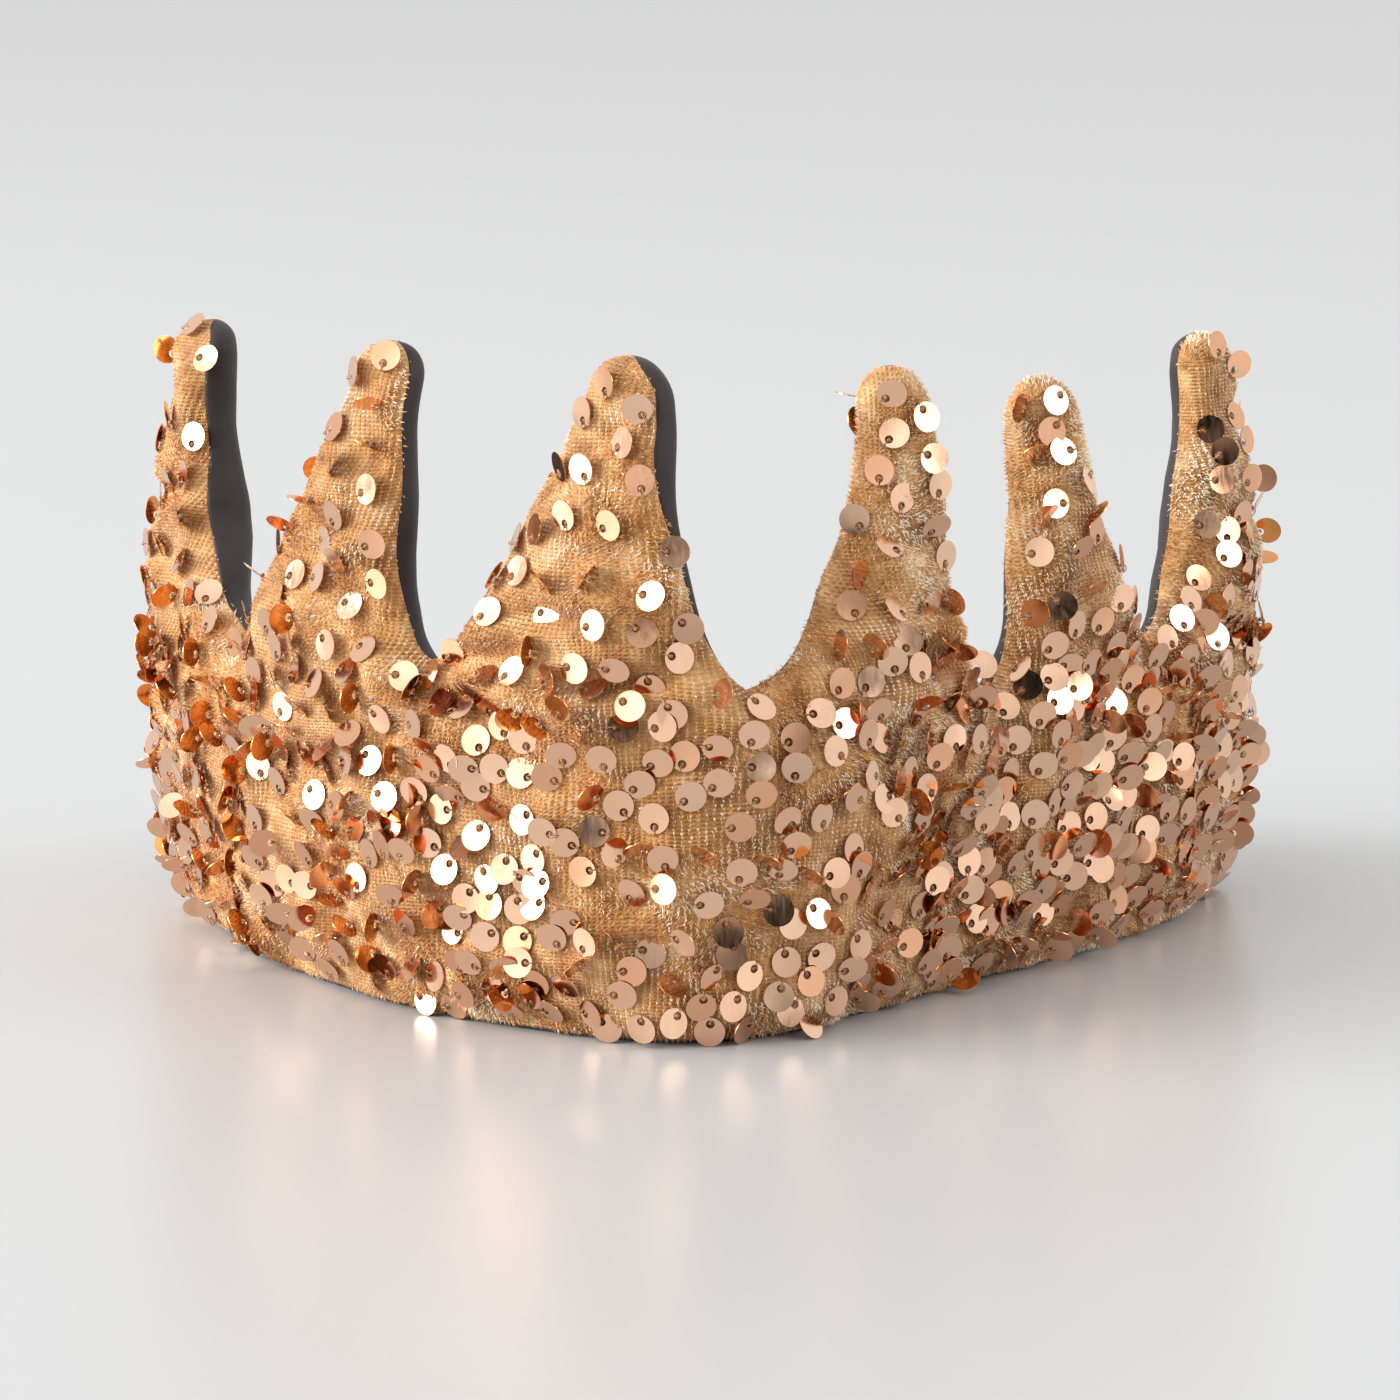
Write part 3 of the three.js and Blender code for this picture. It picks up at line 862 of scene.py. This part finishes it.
def stacked_lifts(middles, rng):
    """How far each sequin stands off the cloth, so that those that overlap lie like scales."""
    lowest, highest = SEQUIN_LIFT
    tree = tree_of(middles)
    lifts = np.zeros(len(middles))
    for i in rng.permutation(len(middles)):
        below = [lifts[j] for _, j, _ in tree.find_range(middles[i], 1.7 * SEQUIN_RADIUS) if lifts[j] > 0]
        lift = max(below) + SCALE_STEP if below else rng.uniform(lowest, lowest + 0.4)
        lifts[i] = lift if lift < highest else rng.uniform(lowest, highest)
    return lifts[:, None]


def make_sequins(side, spots, surface, materials, seed):
    """The sequins of one side and the loops of thread that hold them."""
    rng = np.random.default_rng(seed)
    index = spots_on(side, spots, surface)
    places, normals = surface.places[index], surface.normals[index]
    away, sideways, facing = sequin_frames(places, normals, rng)
    count = len(index)
    lift = stacked_lifts(surface.points[index] + away * HOLE_OFFSET, rng)
    holes = surface.points[index] + normals * lift
    holes[:, 2] = np.maximum(holes[:, 2], LEAST_HOLE_HEIGHT)
    middles = holes + away * HOLE_OFFSET
    rings = disc_rings()
    axes = np.stack([away, sideways, facing], axis=1)
    points = middles[:, None, None, :] + np.einsum("rsa,nab->nrsb", rings, axes)
    drop = np.minimum(points[..., 2].min(axis=(1, 2)) - 0.1, 0)
    points[..., 2] -= drop[:, None, None]
    per_disc = rings.shape[0] * SEQUIN_SIDES
    ids = np.arange(per_disc).reshape(rings.shape[0], SEQUIN_SIDES)
    below = np.roll(ids, -1, axis=0)
    cells = np.stack([ids, np.roll(ids, -1, axis=1), np.roll(below, -1, axis=1), below], axis=-1)
    cells = cells.reshape(-1, 4)
    mesh = new_mesh(f"sequins_{side}", points.reshape(-1, 3), copied_faces(cells, per_disc, count))
    piece = new_piece(f"sequins_{side}", mesh, materials)
    mesh.set_sharp_from_angle(angle=SHARP_BEND)
    tint = np.repeat(rng.choice(3, (count, 1), p=[0.5, 0.25, 0.25]), len(cells), axis=1)
    tint[:, 2 * SEQUIN_SIDES:] = 3
    mesh.polygons.foreach_set("material_index", tint.ravel())
    loops = make_loops(side, surface.points[index], holes - drop[:, None] * [0, 0, 1], away, facing, normals)
    return piece, loops


def make_loops(side, feet, holes, away, facing, normals):
    """A thread from the cloth over each sequin's near edge, through its hole and to a knot under it."""
    edge = holes - away * (SEQUIN_RADIUS - HOLE_OFFSET + 0.25)
    path = np.stack([
        feet - away * 0.8,
        edge,
        edge + facing * 0.35 + away * 0.35,
        holes + facing * 0.38 - away * 0.2,
        holes + away * 0.1,
        holes - facing * 0.15,
        holes - facing * 0.45,
        feet + normals * 0.1,
    ], axis=1)
    path[..., 2] = np.maximum(path[..., 2], LEAST_THREAD_HEIGHT)
    knotted = np.array([1, 1, 1, 1, 1, KNOT_SWELL, KNOT_SWELL, 1])
    return tubes(f"sequin_threads_{side}", path, THREAD_RADIUS * knotted, 6)


def tubes(name, paths, radii, sides):
    """Many closed tubes in one mesh, all with the same number of steps and a radius for each step."""
    count, steps = paths.shape[:2]
    forward = unit(np.gradient(paths, axis=1))
    first = unit(np.cross(forward, np.array([0.31, 0.52, 0.8])))
    second = np.cross(forward, first)
    angle = np.linspace(0, TAU, sides, endpoint=False)
    ring = first[:, :, None] * np.cos(angle)[:, None] + second[:, :, None] * np.sin(angle)[:, None]
    points = paths[:, :, None] + ring * radii[:, None, None]
    ends = paths[:, [0, -1]]
    each = steps * sides + 2
    vertices = np.concatenate([points.reshape(count, -1, 3), ends], axis=1)
    ids = np.arange(steps * sides).reshape(steps, sides)
    around = np.roll(ids, -1, axis=1)
    walls = np.stack([ids[:-1], around[:-1], around[1:], ids[1:]], axis=-1).reshape(-1, 4)
    walls = np.vstack([walls[:, [0, 1, 2]], walls[:, [0, 2, 3]]])
    start_cap = np.stack([around[0], ids[0], np.full(sides, each - 2)], axis=-1)
    end_cap = np.stack([ids[-1], around[-1], np.full(sides, each - 1)], axis=-1)
    cells = np.vstack([walls, start_cap, end_cap])
    return new_mesh(name, vertices.reshape(-1, 3), copied_faces(cells, each, count))


# ---- The elastic back ----

def back_stretch(side):
    """Where one half of the back runs along the loop: from its padded end to the middle of the back."""
    right_end, left_end = DIP_S[-1], DIP_S[0] + LOOP_LENGTH
    middle = (right_end + left_end) / 2
    return (middle, left_end + SLEEVE_TUCK) if side == "left" else (right_end - SLEEVE_TUCK, middle)


def swept(name, s, section_z, section_offset, capped):
    """A band swept round the back, with open or closed ends. Each section array has a row for each s."""
    points = loop_point(s[:, None] + 0 * section_z)
    points += loop_normal(s[:, None] + 0 * section_z) * (bulge(section_z) + section_offset)[..., None]
    grid = np.concatenate([points - CENTRE, section_z[..., None]], axis=-1)
    steps, sides = section_z.shape
    ids = np.arange(steps * sides).reshape(steps, sides)
    around = np.roll(ids, -1, axis=1)
    walls = np.stack([ids[:-1], ids[1:], around[1:], around[:-1]], axis=-1).reshape(-1, 4)
    mesh = new_mesh(name, grid.reshape(-1, 3), walls)
    if capped:
        edit_mesh(mesh, lambda work: bmesh.ops.holes_fill(work, edges=work.edges, sides=sides))
    return mesh


def sleeve_section(s):
    """The sleeve's section at each s: a flat tube of cloth in gathers that open towards its middle height."""
    turn = np.linspace(0, TAU, SLEEVE_SIDES, endpoint=False)[None, :]
    height = np.sin(turn)
    squared = np.sign(height) * np.abs(height) ** 0.75
    middle, reach = (SLEEVE_TOP + SLEEVE_BOTTOM) / 2, (SLEEVE_TOP - SLEEVE_BOTTOM) / 2
    z = middle + reach * squared + 0 * s[:, None]
    place = np.stack([s[:, None] + 0 * z, z], axis=-1)
    face = np.where(np.cos(turn) >= 0, 1.0, -1.0)
    phase = TAU * s[:, None] / PLEAT + 2.2 * field(place, 30, 61) + face * 0.9
    fold = 0.5 + 0.5 * np.sin(phase)
    puff = np.abs(np.cos(turn)) ** 0.6
    depth = 0.95 + 1.35 * fold * (0.35 + 0.65 * np.abs(np.cos(turn))) + 0.3 * field(place, 9, 62)
    edge_wave = 0.45 * np.sin(phase) * squared**2
    return np.clip(z + edge_wave, 0.3, None), face * depth * puff


def make_back(side, slate, woven):
    """One half of the gathered sleeve and of the elastic inside it."""
    start, end = back_stretch(side)
    s = np.linspace(start, end, SLEEVE_STEPS)
    section_z, section_offset = sleeve_section(s)
    entering = smooth_step(np.abs(s - (end if side == "left" else start)) / 6)[:, None]
    section_offset = section_offset * (0.55 + 0.45 * entering)
    name = f"sleeve_{side}"
    sleeve = new_piece(name, swept(name, s, section_z, section_offset, capped=False), [slate])
    thicken(sleeve, CLOTH)
    turn = np.array([0.25, 0.75, 1.25, 1.75]) * math.pi
    middle, reach = (ELASTIC_TOP + ELASTIC_BOTTOM) / 2, (ELASTIC_TOP - ELASTIC_BOTTOM) / 2
    coarse = np.linspace(start, end, ELASTIC_STEPS)
    elastic_z = middle + reach * np.sign(np.sin(turn))[None, :] + 0 * coarse[:, None]
    elastic_offset = ELASTIC_HALF * np.sign(np.cos(turn))[None, :] + 0 * coarse[:, None]
    name = f"elastic_{side}"
    elastic_mesh = swept(name, coarse, elastic_z, elastic_offset, capped=True)
    elastic = new_piece(name, elastic_mesh, [woven], smooth=False)
    return sleeve, elastic


def back_bend(piece):
    """Bakes the piece's placement into its mesh, leaving the piece itself unmoved."""
    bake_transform(piece)


# ---- The end stitches ----

def make_end_stitches(side, surface):
    """A row of short stitches through the velvet that holds the elastic."""
    end = DIP_S[0] if side == "left" else DIP_S[-1]
    inwards = 1 if side == "left" else -1
    paths = []
    for z in np.arange(STITCH_BOTTOM, STITCH_TOP, STITCH_STEP):
        heights = np.linspace(z, z + STITCH_LENGTH, 6)
        arch = np.sin(np.linspace(0, math.pi, 6)) * 0.55 + 0.15
        found = [surface.nearest(end + inwards * STITCH_INSET, height)[0] for height in heights]
        paths.append(surface.points[found] + surface.normals[found] * arch[:, None])
    return tubes(f"end_stitches_{side}", np.array(paths), np.full(6, STITCH_RADIUS), 8)


# ---- Building the crown ----

def build_crown():
    """Makes both sides with everything sewn to them, and hides the CAD parts that they take the place of."""
    ground, slate, woven = velvet_backing(), lining_material(), elastic_material()
    pile, film = pile_materials(), sequin_materials()
    clear = thread_material("clear_thread", (0.40, 0.23, 0.12), 0.3)
    sewing = thread_material("sewing_thread", (0.48, 0.28, 0.12), 0.5)
    distances = [sector_distance(k) for k in range(SPIKES)]
    halves = relaxed_halves(distances)
    spots = sequin_spots()
    for number, side in enumerate(SIDES):
        velvet, lining = make_cover(side, distances, halves, ground, slate)
        surface = Surface(velvet.data)
        tufts = make_pile(side, spots, surface, pile, PILE_SEED + number)
        sequins, loop_mesh = make_sequins(side, spots, surface, film, SEQUIN_SEED + number)
        loops = new_piece(f"sequin_threads_{side}", loop_mesh, [clear])
        stitches = new_piece(f"end_stitches_{side}", make_end_stitches(side, surface), [sewing])
        sleeve, elastic = make_back(side, slate, woven)
        thicken(velvet, CLOTH)
        thicken(lining, CLOTH)
        for piece in (velvet, lining, tufts, sequins, loops, stitches):
            bend_with(piece)
        for piece in (sleeve, elastic):
            back_bend(piece)
        spikes = [f"spike_stuffing_{k + 1}" for k in SIDES[side]["sectors"]]
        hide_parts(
            f"velvet_{side}", "velvet_front", f"interfacing_{side}", "interfacing_front",
            f"band_wadding_{side}", "band_wadding_front", *spikes,
        )
        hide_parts(f"lining_{side}", "lining_front")
        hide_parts("elastic_sleeve")
        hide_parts("elastic_band")
        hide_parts(f"end_stitch_{side}")


# ---- The studio ----

CAMERA_DISTANCE = 785  # from the line where LOOP has y = 0
CAMERA_HEIGHT = 200
CAMERA_PITCH = 10.4
CAMERA_LENS = 129.6
LIT_POINT = np.array([0, 0, 0.05])
FIGURE = (0.05, -0.98, 0.19)  # the way to the dark figure that the sequins mirror
WINDOW = (-0.72, -0.57, 0.38)  # and to the bright window


def build_camera():
    """A long lens in front of the crown, looking a little down."""
    data = bpy.data.cameras.new("camera")
    data.lens = CAMERA_LENS
    data.sensor_width = 36
    camera = bpy.data.objects.new("camera", data)
    camera.location = (-CENTRE[0] * MM, (-CAMERA_DISTANCE - CENTRE[1]) * MM, CAMERA_HEIGHT * MM)
    camera.rotation_euler = (math.radians(90 - CAMERA_PITCH), 0, 0)
    scene.collection.objects.link(camera)
    scene.camera = camera


def build_floor():
    """A plain pale tabletop with a soft shine."""
    mesh = bpy.data.meshes.new("floor")
    edit_mesh(mesh, lambda work: bmesh.ops.create_grid(work, x_segments=4, y_segments=4, size=8))
    material, _, _, shader = new_material("pale_floor")
    set_values(shader, Base_Color=(0.50, 0.505, 0.51, 1), Roughness=0.3, Specular_IOR_Level=0.33)
    floor = new_piece("floor", mesh, [material])


def add_softbox(name, location, size, power):
    """A rectangular light that faces the crown."""
    data = bpy.data.lights.new(name, "AREA")
    data.shape = "RECTANGLE"
    data.size, data.size_y = size
    data.energy = power
    light = bpy.data.objects.new(name, data)
    light.location = location
    away = np.array(location) - LIT_POINT
    flat = math.hypot(away[0], away[1])
    light.rotation_euler = (math.atan2(flat, away[2]), 0, math.atan2(away[0], -away[1]))
    scene.collection.objects.link(light)


def mix_of(nodes, links, blend_type, **inputs):
    """A colour mix whose Factor, A and B are each a socket or a value."""
    mix = nodes.new("ShaderNodeMix")
    mix.data_type = "RGBA"
    mix.blend_type = blend_type
    for name, given in inputs.items():
        if isinstance(given, bpy.types.NodeSocket):
            links.new(given, mix.inputs[name])
        else:
            mix.inputs[name].default_value = given
    return mix.outputs["Result"]


def how_near(nodes, links, vector, direction):
    """The cosine of the angle between the world's own direction and another."""
    product = nodes.new("ShaderNodeVectorMath")
    product.operation = "DOT_PRODUCT"
    product.inputs[1].default_value = unit(np.array(direction))
    links.new(vector, product.inputs[0])
    return product.outputs["Value"]


def within(nodes, links, cosine, least, most):
    """Nothing to one as a cosine goes from least to most."""
    share = add_node(nodes, "ShaderNodeMapRange", From_Min=least, From_Max=most)
    links.new(cosine, share.inputs["Value"])
    return share.outputs["Result"]


def build_world():
    """A pale room for the sequins to mirror: dark things and a figure ahead, a bright window to the left."""
    world = bpy.data.worlds.new("studio")
    world.use_nodes = True
    scene.world = world
    nodes, links = world.node_tree.nodes, world.node_tree.links
    vector = nodes.new("ShaderNodeTexCoord").outputs["Generated"]
    noise = add_node(nodes, "ShaderNodeTexNoise", Scale=4.5, Detail=1.0)
    links.new(vector, noise.inputs["Vector"])
    things = ramp_between(
        nodes, links, noise.outputs["Fac"],
        [(0.02, 0.018, 0.016), (0.20, 0.185, 0.17), (0.46, 0.44, 0.42), (1.05, 1.04, 1.03)],
        [0.36, 0.41, 0.48, 0.58],
    )
    figure = ramp_between(
        nodes, links, how_near(nodes, links, vector, FIGURE),
        [(1, 1, 1), (0.42, 0.40, 0.38), (0.24, 0.22, 0.20), (0.02, 0.018, 0.016)],
        [0.86, 0.91, 0.948, 0.964],
    )
    front = mix_of(nodes, links, "MULTIPLY", Factor=1, A=things, B=figure)
    ahead = within(nodes, links, how_near(nodes, links, vector, (0, -1, 0)), 0.25, 0.5)
    room = mix_of(nodes, links, "MIX", Factor=ahead, A=(0.95, 0.95, 0.945, 1), B=front)
    at_window = within(nodes, links, how_near(nodes, links, vector, WINDOW), 0.76, 0.93)
    lit = mix_of(nodes, links, "ADD", Factor=at_window, A=room, B=(1.4, 1.38, 1.35, 1))
    links.new(lit, nodes["Background"].inputs["Color"])


def build_lights():
    """A large soft window on the left and a weak fill on the right."""
    add_softbox("left_window", (-2.7, -0.45, 0.95), (2.0, 1.6), 112)
    add_softbox("fill", (2.1, -0.9, 1.1), (1.4, 1.4), 19)


scene.view_settings.view_transform = "Standard"
build_camera()
build_floor()
build_world()
build_lights()
build_crown()
